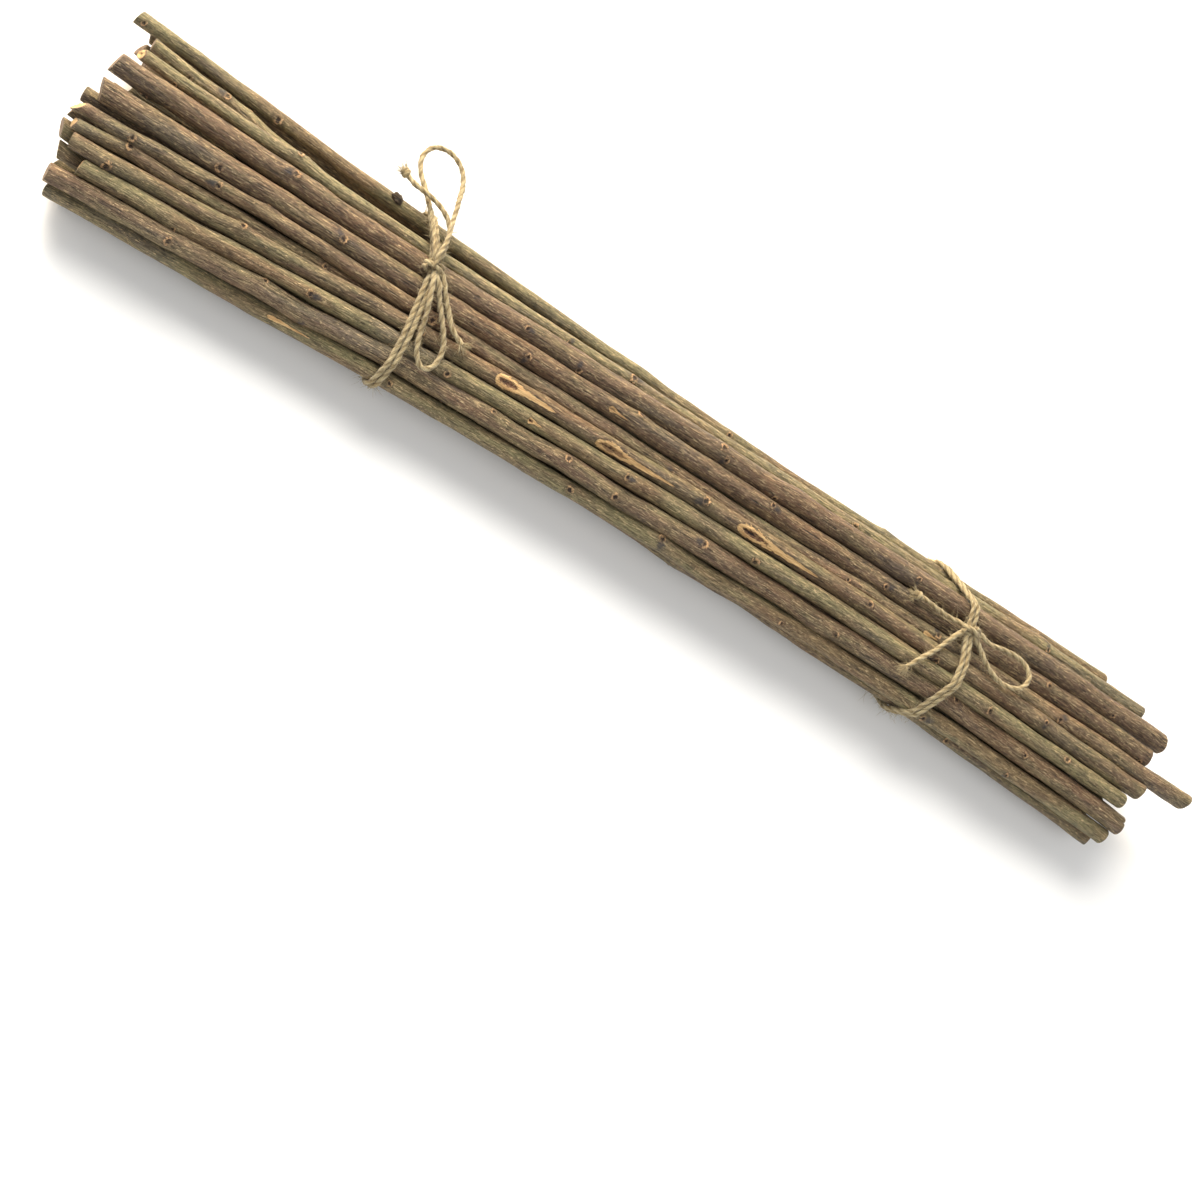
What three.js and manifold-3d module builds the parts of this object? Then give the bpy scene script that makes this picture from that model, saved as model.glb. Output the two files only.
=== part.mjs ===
// Bundle of cut twigs, tied at two places with jute twine that ends in small bows.
//
// Millimetres, +Z up. The bundle lies along X, with its fanned, wide end at -X and its narrow end at +X.
// The origin is under the middle of the bundle, on the surface that it lies on.

import * as THREE from 'three';
import { mergeVertices } from 'three/addons/utils/BufferGeometryUtils.js';
import Module from 'manifold-3d';

const wasm = await Module();
wasm.setup();

// ---- Driving dimensions -------------------------------------------------------------------------------

const TWIG_SIDES = 8;
const TWIG_GAP = 0.35;
const TWINE_DIAMETER = 2;
const TWINE_GAP = 0.4;
const TWINE_SIDES = 8;
const BAND_STEPS = 40;
const BAND_POINT_DEGREES = 3;
const STRAND_SPACING = 2.1;
const CORD_STEP = 5;
const KNOT_RISE = 0.8;
const KNOT_SIDES = 12;
const KNOT_ROWS = 8;
const SEAM = 0.2;
const WELD_DISTANCE = 1e-4;
const BAND_MIDDLE = 18;
const BAND_HALF_WIDTH = 35;
const BARK_COLOUR = 0x7b6b54;
const TWINE_COLOUR = 0xb49f76;

// The two ties. A double band runs round the twigs: `slant` carries its front side towards +X and
// `bulge` its top. Its knot sits on top, where the outline faces the knot's angle, and the bow's loops and
// tails leave the knot.
const TIES = [
  {
    name: 'wide_end',
    x: -121.3,
    slant: 6,
    bulge: 5.5,
    knot: { angle: 83.5, centre: [-118.3, 9.5, 34.5], halfSizes: [3.2, 3.4, 2.4] },
    cords: {
      upper_loop: [
        [-120.6, 14.2, 35.2], [-122.4, 18.6, 34.0], [-124.8, 23.4, 32.4], [-128.2, 29.8, 30.0],
        [-132.8, 37.0, 27.4], [-137.4, 43.4, 25.3], [-139.3, 49.8, 24.3], [-136.9, 55.5, 23.8],
        [-131.3, 57.2, 24.0], [-125.6, 54.4, 24.9], [-122.2, 48.5, 26.4], [-120.6, 39.4, 28.8],
        [-119.4, 30.0, 31.2], [-118.2, 20.4, 33.6], [-117.8, 14.2, 35.3],
      ],
      upper_tail: [
        [-119.2, 13.4, 37.7], [-118.9, 20.0, 36.4], [-120.4, 26.2, 35.0], [-124.7, 30.8, 33.4],
        [-131.2, 33.6, 32.0], [-137.4, 35.2, 30.0], [-142.9, 38.4, 27.8],
      ],
      lower_loop: [
        [-116.6, 4.8, 36.4], [-115.0, -0.6, 36.4], [-112.6, -7.4, 35.0], [-110.6, -15.0, 32.6],
        [-108.2, -20.4, 31.3], [-104.6, -23.2, 30.4], [-101.6, -21.7, 30.9], [-100.6, -16.9, 31.6],
        [-102.4, -11.2, 32.7], [-106.8, -5.2, 33.8], [-111.2, 0.6, 34.6], [-114.0, 4.9, 35.6],
      ],
      lower_tail: [
        [-113.4, 8.0, 34.6], [-110.4, 4.2, 34.2], [-106.8, -0.4, 34.0], [-102.2, -5.8, 33.8],
        [-96.2, -9.0, 33.2],
      ],
    },
  },
  {
    name: 'narrow_end',
    x: 113,
    slant: 6,
    bulge: 15,
    knot: { angle: 91, centre: [127.4, 5.6, 37.6], halfSizes: [3.0, 3.2, 2.4] },
    cords: {
      loop: [
        [131.8, 7.0, 37.0], [137.6, 6.0, 36.6], [143.4, 7.4, 36.2], [149.2, 8.2, 36.0],
        [155.2, 7.4, 35.8], [158.6, 3.4, 36.4], [156.8, -2.0, 37.0], [152.2, -4.6, 37.0],
        [146.4, -5.0, 37.0], [140.4, -3.0, 37.2], [135.4, 0.6, 37.2], [131.9, 3.4, 37.2],
      ],
      upper_tail: [
        [122.9, 6.8, 36.4], [117.4, 6.6, 35.6], [111.6, 6.9, 35.4], [106.4, 7.4, 35.4],
        [101.6, 7.0, 35.4],
      ],
      lower_tail: [
        [123.8, 3.0, 37.0], [121.0, -1.2, 37.4], [118.2, -6.4, 37.0], [115.6, -10.4, 37.0],
        [112.4, -14.6, 36.9], [108.8, -20.4, 35.0],
      ],
    },
  },
];

// Cross-sections of the bundle, from the wide end to the narrow end: half the width and half the height
// of the ellipse that the outermost twigs' centres lie on.
const STATIONS = [
  { x: -250, halfWidth: 36.5, halfHeight: 13.5 },
  { x: -205, halfWidth: 34.0, halfHeight: 12.5 },
  { x: -162, halfWidth: 32.0, halfHeight: 11.5 },
  { x: -121, halfWidth: 30.2, halfHeight: 11.2 },
  { x: -65, halfWidth: 28.6, halfHeight: 12.0 },
  { x: 0, halfWidth: 26.8, halfHeight: 12.9 },
  { x: 65, halfWidth: 24.6, halfHeight: 13.7 },
  { x: 118, halfWidth: 24.6, halfHeight: 14.2 },
  { x: 165, halfWidth: 26.6, halfHeight: 13.6 },
  { x: 207, halfWidth: 28.8, halfHeight: 13.0 },
  { x: 250, halfWidth: 31.2, halfHeight: 12.4 },
];

// The twigs that show, each with its place in the bundle at the wide and at the narrow end: the angle
// round the section in degrees (0 back, 90 top, 180 front, 270 underside) and the layer (0 outermost).
// Then its two ends along X and its diameter at each.
const SHOWN_TWIGS = [
  { wide: [15, 0], narrow: [17, 0], from: -247, to: 199, diameters: [5.2, 6.2] },
  { wide: [40, 0], narrow: [52, 1], from: -238, to: 208, diameters: [4.6, 6.6] },
  { wide: [56, 0], narrow: [38, 0], from: -239, to: 219, diameters: [4.6, 7.0] },
  { wide: [72, 0], narrow: [57, 0], from: -245, to: 230, diameters: [8.0, 8.4] },
  { wide: [92, 0], narrow: [74, 0], from: -244, to: 226, diameters: [8.2, 7.4] },
  { wide: [106, 0], narrow: [89, 0], from: -247, to: 248, diameters: [5.0, 7.1] },
  { wide: [117, 0], narrow: [96, 1], from: -245, to: 230, diameters: [4.8, 6.8] },
  { wide: [129, 0], narrow: [104, 0], from: -243, to: 227, diameters: [5.8, 7.2] },
  { wide: [141, 0], narrow: [121, 0], from: -236, to: 220, diameters: [6.2, 6.6] },
  { wide: [154, 0], narrow: [139, 0], from: -244, to: 226, diameters: [6.8, 8.0] },
  { wide: [175, 0], narrow: [161, 0], from: -241, to: 223, diameters: [6.0, 6.6] },
  { wide: [195, 0], narrow: [203, 0], from: -239, to: 219, diameters: [5.8, 6.2] },
  { wide: [164, 1], narrow: [182, 0], from: -245, to: 222, diameters: [5.8, 6.4] },
  { wide: [50, 1], narrow: [30, 1], from: -240, to: 212, diameters: [5.4, 6.8] },
  { wide: [80, 1], narrow: [75, 1], from: -240, to: 216, diameters: [5.6, 6.8] },
  { wide: [96, 1], narrow: [100, 2], from: -248, to: 219, diameters: [5.6, 7.0] },
  { wide: [116, 1], narrow: [118, 1], from: -248, to: 222, diameters: [5.6, 6.6] },
  { wide: [146, 1], narrow: [145, 1], from: -248, to: 218, diameters: [6.8, 6.6] },
];

// The twigs below them, which fill the underside and the core.
const UNDERSIDE_TWIGS = { count: 8, firstAngle: 222, lastAngle: 352, layer: 0 };
const INNER_TWIGS = { count: 5, firstAngle: 200, lastAngle: 350, layer: 1 };
const CORE_TWIGS = { count: 2, firstAngle: 0, lastAngle: 180, layer: 2 };
const HIDDEN_DIAMETERS = [5.8, 6.8];
const HIDDEN_DIAMETER_SPREAD = 0.6;
const HIDDEN_START = -243;
const HIDDEN_START_SPREAD = 9;
const HIDDEN_END = 220;
const HIDDEN_END_SPREAD = 20;
const MEAN_RADIUS = 3.2;

// How far a cut end leans out of square, at least and at most.
const CUT_SLOPES = [0.09, 0.45];
// Rings of a twig other than its ends stay this far from them.
const END_CLEARANCE = 12;

// ---- Layout of the twigs ------------------------------------------------------------------------------

const LAYER_DEPTH = 0.42;
// Past this X every twig has found the place that it keeps to the narrow end.
const MERGED_X = -60;
const PASSES = 1200;
const CALM_PASSES = 150;
const FIRST_PULL = 0.05;
const LAST_PULL = 0.004;
const FIRST_STRAIGHTENING = 0.4;
const LAST_STRAIGHTENING = 0.12;
const GATHER = 0.3;
const SETTLE = 0.01;
// The twigs stay lifted by the bands' thickness this far from a tie, and are down again at the other.
const LIFTED_REACH = 36;
const LOWERED_REACH = 126;

// A row of twigs with unlike ends and diameters: the sines stand in for chance.
function rowOfTwigs({ count, firstAngle, lastAngle, layer }) {
  return Array.from({ length: count }, (_, i) => {
    const angle = THREE.MathUtils.lerp(firstAngle, lastAngle, i / (count - 1));
    return {
      wide: [angle, layer],
      narrow: [angle, layer],
      from: HIDDEN_START + HIDDEN_START_SPREAD * Math.abs(Math.sin(3.1 * i + layer)),
      to: HIDDEN_END - HIDDEN_END_SPREAD * Math.abs(Math.sin(2.3 * i + layer)),
      diameters: HIDDEN_DIAMETERS.map(
        (diameter, end) => diameter + HIDDEN_DIAMETER_SPREAD * Math.sin(5 * i + end),
      ),
    };
  });
}

// The floor under the twigs' centres: the bands pass below them at the ties.
function floorHeight(x) {
  const distance = Math.min(...TIES.map((tie) => Math.abs(x - tie.x)));
  const lifted = (LOWERED_REACH - distance) / (LOWERED_REACH - LIFTED_REACH);
  return (TWINE_DIAMETER + TWINE_GAP) * THREE.MathUtils.clamp(lifted, 0, 1);
}

function radiusAt(twig, x) {
  const share = THREE.MathUtils.clamp((x - twig.from) / (twig.to - twig.from), 0, 1);
  return THREE.MathUtils.lerp(twig.diameters[0], twig.diameters[1], share) / 2;
}

// Where a twig would lie if nothing were in its way.
function wantedPlace(twig, station) {
  const share = THREE.MathUtils.smoothstep(station.x, STATIONS[0].x, MERGED_X);
  const angle = THREE.MathUtils.degToRad(THREE.MathUtils.lerp(twig.wide[0], twig.narrow[0], share));
  const layer = THREE.MathUtils.lerp(twig.wide[1], twig.narrow[1], share);
  const inward = 1 - LAYER_DEPTH * layer;
  const centre = station.halfHeight + MEAN_RADIUS + floorHeight(station.x);
  return new THREE.Vector2(
    inward * station.halfWidth * Math.cos(angle),
    centre + inward * station.halfHeight * Math.sin(angle),
  );
}

function pullToPlaces(twigs, share) {
  for (const twig of twigs) {
    twig.places.forEach((place, k) => place.lerp(twig.wanted[k], share));
  }
}

// Gravity and the ties' pull: a twig outside the section's outline moves in towards the section's centre.
function gather(twigs) {
  for (const twig of twigs) {
    twig.places.forEach((place, k) => {
      const { x, halfWidth, halfHeight } = STATIONS[k];
      const centre = halfHeight + MEAN_RADIUS + floorHeight(x);
      const reach = Math.hypot(place.x / halfWidth, (place.y - centre) / halfHeight);
      const share = reach > 1 ? 1 - GATHER * (1 - 1 / reach) : 1;
      place.x *= share;
      place.y = centre + (place.y - centre) * share - SETTLE;
    });
  }
}

// Two neighbours that overlap move apart, at each station and half-way between stations.
function separate(twigs) {
  const apart = new THREE.Vector2();
  for (let k = 0; k < STATIONS.length - 0.5; k += 0.5) {
    const low = Math.floor(k);
    const high = Math.ceil(k);
    const x = (STATIONS[low].x + STATIONS[high].x) / 2;
    for (let i = 0; i < twigs.length; i++) {
      for (let j = i + 1; j < twigs.length; j++) {
        const a = twigs[i].places;
        const b = twigs[j].places;
        apart.copy(b[low]).add(b[high]).sub(a[low]).sub(a[high]).multiplyScalar(0.5);
        const least = radiusAt(twigs[i], x) + radiusAt(twigs[j], x) + TWIG_GAP;
        const overlap = least - apart.length();
        if (overlap <= 0) continue;
        apart.setLength(overlap / 2);
        for (const end of new Set([low, high])) {
          a[end].sub(apart);
          b[end].add(apart);
        }
      }
    }
  }
}

function keepAboveFloor(twigs) {
  for (const twig of twigs) {
    twig.places.forEach((place, k) => {
      const x = STATIONS[k].x;
      place.y = Math.max(place.y, floorHeight(x) + radiusAt(twig, x));
    });
  }
}

// A twig resists bending: each station moves towards the line between its neighbours.
function straighten(twigs, share) {
  const line = new THREE.Vector2();
  for (const { places } of twigs) {
    for (let k = 1; k < places.length - 1; k++) {
      line.copy(places[k - 1]).add(places[k + 1]).multiplyScalar(0.5);
      places[k].lerp(line, share);
    }
  }
}

function layOut(twigs) {
  for (const twig of twigs) {
    twig.wanted = STATIONS.map((station) => wantedPlace(twig, station));
    twig.places = twig.wanted.map((place) => place.clone());
  }
  for (let pass = 0; pass < PASSES; pass++) {
    const remaining = 1 - pass / PASSES;
    if (pass < PASSES - CALM_PASSES) {
      pullToPlaces(twigs, FIRST_PULL * remaining ** 3 + LAST_PULL);
      gather(twigs);
      straighten(twigs, FIRST_STRAIGHTENING * remaining + LAST_STRAIGHTENING);
    }
    separate(twigs);
    separate(twigs);
    keepAboveFloor(twigs);
  }
}

// ---- Geometry -----------------------------------------------------------------------------------------

function twigRings(twig) {
  const isInner = (x) => x > twig.from + END_CLEARANCE && x < twig.to - END_CLEARANCE;
  const inner = STATIONS.map((station) => station.x).filter(isInner);
  const square = { alongY: 0, alongZ: 0 };
  return [twig.from, ...inner, twig.to].map((x) => ({ x, ...placeAt(twig, x), cut: square }));
}

function placeAt(twig, x) {
  const next = STATIONS.findIndex((station) => station.x >= x);
  const k = Math.max(next, 1);
  const share = (x - STATIONS[k - 1].x) / (STATIONS[k].x - STATIONS[k - 1].x);
  const place = twig.places[k - 1].clone().lerp(twig.places[k], share);
  return { y: place.x, z: place.y, radius: radiusAt(twig, x) };
}

// The saw or shears left each end a little oblique, each in its own direction.
function cutSlopes(index, end) {
  const turn = 2.4 * index + 1.7 * end;
  const slope = THREE.MathUtils.lerp(...CUT_SLOPES, 0.5 + 0.5 * Math.sin(5.3 * index + end));
  return { alongY: slope * Math.cos(turn), alongZ: slope * Math.sin(turn) };
}

function twigGeometry(twig, index) {
  const rings = twigRings(twig);
  rings.at(0).cut = cutSlopes(index, 0);
  rings.at(-1).cut = cutSlopes(index, 1);
  const segments = rings.length - 1;
  const geometry = new THREE.CylinderGeometry(1, 1, segments, TWIG_SIDES, segments);
  const position = geometry.attributes.position;
  for (let i = 0; i < position.count; i++) {
    const ring = rings[Math.round(position.getY(i) + segments / 2)];
    const y = position.getZ(i) * ring.radius;
    const z = position.getX(i) * ring.radius;
    const x = ring.x + ring.cut.alongY * y + ring.cut.alongZ * z;
    position.setXYZ(i, x, ring.y + y, ring.z + z);
  }
  return geometry;
}

const twigs = [
  ...SHOWN_TWIGS,
  ...rowOfTwigs(UNDERSIDE_TWIGS),
  ...rowOfTwigs(INNER_TWIGS),
  ...rowOfTwigs(CORE_TWIGS),
];
layOut(twigs);

// The point of a section's outline that faces `angle`, with the twine lying on the outermost twig there.
function outlinePoint(x, angle) {
  const across = Math.cos(angle);
  const up = Math.sin(angle);
  const reach = ({ y, z, radius }) => y * across + z * up + radius;
  const places = twigs.map((twig) => placeAt(twig, x));
  const outermost = places.reduce((best, place) => (reach(place) > reach(best) ? place : best));
  const distance = outermost.radius + TWINE_DIAMETER / 2 + TWINE_GAP;
  return new THREE.Vector3(x, outermost.y + distance * across, outermost.z + distance * up);
}

function bandPoint(tie, angle, offset) {
  const { y, z } = outlinePoint(tie.x, angle);
  const overTop = Math.max(z - BAND_MIDDLE, 0) / BAND_MIDDLE;
  return outlinePoint(tie.x - tie.slant * (y / BAND_HALF_WIDTH) + tie.bulge * overTop + offset, angle);
}

function tube(points, steps) {
  const section = new THREE.Shape(
    Array.from({ length: TWINE_SIDES }, (_, i) => {
      const angle = (2 * Math.PI * i) / TWINE_SIDES;
      return new THREE.Vector2(Math.cos(angle), Math.sin(angle)).multiplyScalar(TWINE_DIAMETER / 2);
    }),
  );
  const extrudePath = new THREE.CatmullRomCurve3(points, false, 'centripetal');
  return new THREE.ExtrudeGeometry(section, { steps, extrudePath, bevelEnabled: false });
}

// One strand of the band: once round the twigs, from inside the knot back into it.
function strand(tie, offset) {
  const [x, y, z] = tie.knot.centre;
  const inKnot = (side) => new THREE.Vector3(x + offset, y + side * SEAM, z - KNOT_RISE);
  const points = [inKnot(-1)];
  for (let degrees = BAND_POINT_DEGREES; degrees < 360; degrees += BAND_POINT_DEGREES) {
    points.push(bandPoint(tie, THREE.MathUtils.degToRad(tie.knot.angle + degrees), offset));
  }
  points.push(inKnot(1));
  return tube(points, BAND_STEPS);
}

function knotGeometry({ centre, halfSizes }) {
  return new THREE.SphereGeometry(1, KNOT_SIDES, KNOT_ROWS).scale(...halfSizes).translate(...centre);
}

function toSolid(geometry) {
  geometry.deleteAttribute('normal');
  geometry.deleteAttribute('uv');
  const merged = mergeVertices(geometry, WELD_DISTANCE);
  return new wasm.Manifold(
    new wasm.Mesh({
      numProp: 3,
      vertProperties: new Float32Array(merged.attributes.position.array),
      triVerts: new Uint32Array(merged.index.array),
    }),
  );
}

function toGeometry(solid) {
  const mesh = solid.getMesh();
  const geometry = new THREE.BufferGeometry();
  geometry.setAttribute('position', new THREE.BufferAttribute(mesh.vertProperties, 3));
  geometry.setIndex(new THREE.BufferAttribute(mesh.triVerts, 1));
  geometry.computeVertexNormals();
  return geometry;
}

function bandGeometry(tie) {
  const half = STRAND_SPACING / 2;
  const strands = toSolid(strand(tie, -half)).add(toSolid(strand(tie, half)));
  return toGeometry(strands.add(toSolid(knotGeometry(tie.knot))));
}

function cordGeometry(route) {
  const points = route.map((point) => new THREE.Vector3(...point));
  const length = new THREE.CatmullRomCurve3(points, false, 'centripetal').getLength();
  return tube(points, Math.round(length / CORD_STEP));
}

// ---- The bundle ---------------------------------------------------------------------------------------

const bundle = new THREE.Group();

function addPiece(name, geometry, color, roughness) {
  const material = new THREE.MeshStandardMaterial({ color, roughness, metalness: 0 });
  const mesh = new THREE.Mesh(geometry, material);
  mesh.name = name;
  bundle.add(mesh);
}

twigs.forEach((twig, i) => {
  addPiece(`twig_${String(i + 1).padStart(2, '0')}`, twigGeometry(twig, i), BARK_COLOUR, 0.85);
});
for (const tie of TIES) {
  addPiece(`twine_band_${tie.name}`, bandGeometry(tie), TWINE_COLOUR, 0.95);
  for (const [cord, route] of Object.entries(tie.cords)) {
    addPiece(`twine_${cord}_${tie.name}`, cordGeometry(route), TWINE_COLOUR, 0.95);
  }
}

export default bundle;
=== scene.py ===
"""Looks of a bundle of cut twigs, tied at two places with jute twine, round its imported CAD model.

Metres, +Z up. The bundle lies along X, with its fanned, wide end at -X. Angles round a twig or round the
bundle run from the back (0, +Y) over the top (90) to the front (180) and the underside (270).
"""

import math

import bpy
import numpy as np
from mathutils import Matrix, Vector


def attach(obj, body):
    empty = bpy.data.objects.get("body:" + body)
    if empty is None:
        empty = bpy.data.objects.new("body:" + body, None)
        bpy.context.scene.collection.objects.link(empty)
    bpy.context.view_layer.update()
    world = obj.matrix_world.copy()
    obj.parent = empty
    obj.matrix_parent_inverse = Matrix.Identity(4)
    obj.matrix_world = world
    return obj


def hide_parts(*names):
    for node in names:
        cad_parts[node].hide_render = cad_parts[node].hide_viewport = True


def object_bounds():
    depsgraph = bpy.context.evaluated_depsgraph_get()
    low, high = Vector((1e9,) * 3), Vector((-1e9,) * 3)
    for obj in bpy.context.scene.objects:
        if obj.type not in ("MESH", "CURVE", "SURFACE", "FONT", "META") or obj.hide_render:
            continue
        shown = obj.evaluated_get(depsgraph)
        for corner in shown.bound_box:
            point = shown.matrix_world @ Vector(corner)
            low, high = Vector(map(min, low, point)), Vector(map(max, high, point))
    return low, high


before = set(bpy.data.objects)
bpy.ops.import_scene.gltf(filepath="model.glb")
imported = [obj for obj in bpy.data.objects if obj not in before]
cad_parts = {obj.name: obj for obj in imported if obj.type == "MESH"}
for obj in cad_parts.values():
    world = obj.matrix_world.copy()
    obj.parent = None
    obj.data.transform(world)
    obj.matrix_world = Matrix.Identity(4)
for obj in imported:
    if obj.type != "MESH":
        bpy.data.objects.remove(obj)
CAD_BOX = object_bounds()

MM = 0.001
SEED = 7

# ---- Camera ----

CAMERA_AIM = (-0.0296, 0.0058, 0.017)
CAMERA_DISTANCE = 0.772
CAMERA_AZIMUTH = -32.3
CAMERA_ELEVATION = 60.0
CAMERA_ROLL = 62.1
CAMERA_LENS = 63.3
CAMERA_SHIFT = (-0.01, -0.1475)


def camera_axes():
    """The camera's right, up and backward directions."""
    azimuth, elevation, roll = map(math.radians, (CAMERA_AZIMUTH, CAMERA_ELEVATION, CAMERA_ROLL))
    back = np.array([
        math.sin(azimuth) * math.cos(elevation),
        -math.cos(azimuth) * math.cos(elevation),
        math.sin(elevation),
    ])
    level = np.array([math.cos(azimuth), math.sin(azimuth), 0.0])
    above = np.cross(back, level)
    right = math.cos(roll) * level + math.sin(roll) * above
    up = math.cos(roll) * above - math.sin(roll) * level
    return right, up, back


def add_camera():
    data = bpy.data.cameras.new("camera")
    data.lens = CAMERA_LENS
    data.shift_x, data.shift_y = CAMERA_SHIFT
    data.clip_start = 0.01
    camera = bpy.data.objects.new("camera", data)
    right, up, back = camera_axes()
    place = np.array(CAMERA_AIM) + CAMERA_DISTANCE * back
    matrix = np.eye(4)
    matrix[:3, :3] = np.stack([right, up, back], axis=1)
    matrix[:3, 3] = place
    camera.matrix_world = Matrix(matrix.tolist())
    bpy.context.scene.collection.objects.link(camera)
    bpy.context.scene.camera = camera


add_camera()

# ---- Meshes ----


def add_object(name, points, faces, attributes=()):
    """A smooth mesh object. Attributes are (name, values for each point) pairs; the values are vectors."""
    mesh = bpy.data.meshes.new(name)
    mesh.from_pydata(points.tolist(), [], faces)
    mesh.polygons.foreach_set("use_smooth", np.ones(len(mesh.polygons), bool))
    for label, values in attributes:
        attribute = mesh.attributes.new(label, "FLOAT_VECTOR", "POINT")
        attribute.data.foreach_set("vector", np.ascontiguousarray(values, np.float32).ravel())
    mesh.update()
    thing = bpy.data.objects.new(name, mesh)
    bpy.context.scene.collection.objects.link(thing)
    return thing


def grid_faces(rings, sides):
    """The faces of a closed tube: rings of points, then one point at its start and one at its end."""
    ring = np.arange(rings - 1)[:, None] * sides
    side = np.arange(sides)[None, :]
    after = (side + 1) % sides
    quads = np.stack([ring + side, ring + after, ring + sides + after, ring + sides + side], axis=-1)
    last = (rings - 1) * sides
    first_cap = [(rings * sides, j, (j + 1) % sides)[::-1] for j in range(sides)]
    last_cap = [(rings * sides + 1, last + j, last + (j + 1) % sides) for j in range(sides)]
    return quads.reshape(-1, 4).tolist() + first_cap + last_cap


def joined(*values):
    """Values of different shapes as one array of vectors."""
    return np.stack(np.broadcast_arrays(*values), axis=-1)


def round_angles(count):
    return np.linspace(0, 2 * np.pi, count, endpoint=False)


def with_tips(rows, first, last):
    """The points of the rows as one list, then the values at the two tips."""
    return np.vstack([rows.reshape(-1, 3), first, last])


def bump(*offsets):
    """A smooth bump, 1 in its middle, from distances that are given in its own widths."""
    return np.exp(-sum(offset**2 for offset in offsets))


def wrapped(angle):
    """The same angle, from -pi to pi."""
    return (angle + np.pi) % (2 * np.pi) - np.pi


def smoothstep(value, low, high):
    share = np.clip((value - low) / (high - low), 0, 1)
    return share * share * (3 - 2 * share)


# ---- Lines that twine follows ----


def even_steps(line, step):
    """Points along a polyline, a step apart."""
    along = np.concatenate([[0], np.cumsum(np.linalg.norm(np.diff(line, axis=0), axis=1))])
    at = np.linspace(0, along[-1], max(3, round(along[-1] / step) + 1))
    return np.stack([np.interp(at, along, line[:, k]) for k in range(3)], axis=1)


def length_of(line):
    return float(np.linalg.norm(np.diff(line, axis=0), axis=1).sum())


def through(points, step):
    """A smooth curve through the points (centripetal Catmull-Rom), as points a step apart."""
    points = np.asarray(points, float)
    padded = np.vstack([2 * points[0] - points[1], points, 2 * points[-1] - points[-2]])
    pieces = []
    for p0, p1, p2, p3 in zip(padded, padded[1:], padded[2:], padded[3:]):
        gaps = [math.sqrt(np.linalg.norm(b - a)) for a, b in ((p0, p1), (p1, p2), (p2, p3))]
        t1, t2, t3 = np.cumsum(gaps)
        t = np.linspace(t1, t2, 16, endpoint=False)[:, None]
        a1 = (t1 - t) / t1 * p0 + t / t1 * p1
        a2 = (t2 - t) / (t2 - t1) * p1 + (t - t1) / (t2 - t1) * p2
        a3 = (t3 - t) / (t3 - t2) * p2 + (t - t2) / (t3 - t2) * p3
        b1 = (t2 - t) / t2 * a1 + t / t2 * a2
        b2 = (t3 - t) / (t3 - t1) * a2 + (t - t1) / (t3 - t1) * a3
        pieces.append((t2 - t) / (t2 - t1) * b1 + (t - t1) / (t2 - t1) * b2)
    return even_steps(np.vstack([*pieces, points[-1:]]), step)


def blurred(line, reach):
    """The line with its corners rounded: each point is the mean of its neighbours within reach points."""
    before = 2 * line[0] - line[reach:0:-1]
    after = 2 * line[-1] - line[-2:-2 - reach:-1]
    padded = np.concatenate([before, line, after])
    kernel = np.hanning(2 * reach + 3)[1:-1]
    kernel /= kernel.sum()
    columns = padded.reshape(len(padded), -1).T
    smooth = np.stack([np.convolve(column, kernel, "valid") for column in columns], axis=1)
    return smooth.reshape(line.shape)


def frames_along(line):
    """Two directions across the line at each of its points, which turn as little as they can."""
    tangents = np.gradient(line, axis=0)
    tangents /= np.linalg.norm(tangents, axis=1)[:, None]
    side = np.cross(tangents[0], [0.0, 0.0, 1.0])
    if np.linalg.norm(side) < 0.1:
        side = np.cross(tangents[0], [0.0, 1.0, 0.0])
    sides = []
    for tangent in tangents:
        side = side - tangent * (side @ tangent)
        side /= np.linalg.norm(side)
        sides.append(side)
    sides = np.array(sides)
    return tangents, sides, np.cross(tangents, sides)


# ---- Twine ----

TWINE_DIAMETER = 2.0 * MM
TWINE_RADIUS = TWINE_DIAMETER / 2
TWINE_STEP = 0.4 * MM
TWINE_SIDES = 24
PLIES = 2
PLY_TURN = 8 * MM
PLY_OFFSET = 0.2 * TWINE_RADIUS
PLY_RADIUS = 0.8 * TWINE_RADIUS
SWELL_HEIGHT = 0.05
SWELL_SPREAD = 2.2
SWELL_REACH = 9
SURFACE_ROUGHNESS = 0.03
TIP_BULGE = 0.3 * TWINE_RADIUS
TIP_SHADE = 0.6

BAND_LIFT = 0.2 * MM
STRAND_SPACING = 2.1 * MM
BAND_MIDDLE = 18 * MM
BAND_HALF_WIDTH = 35 * MM
KNOT_RISE = 0.8 * MM

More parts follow.
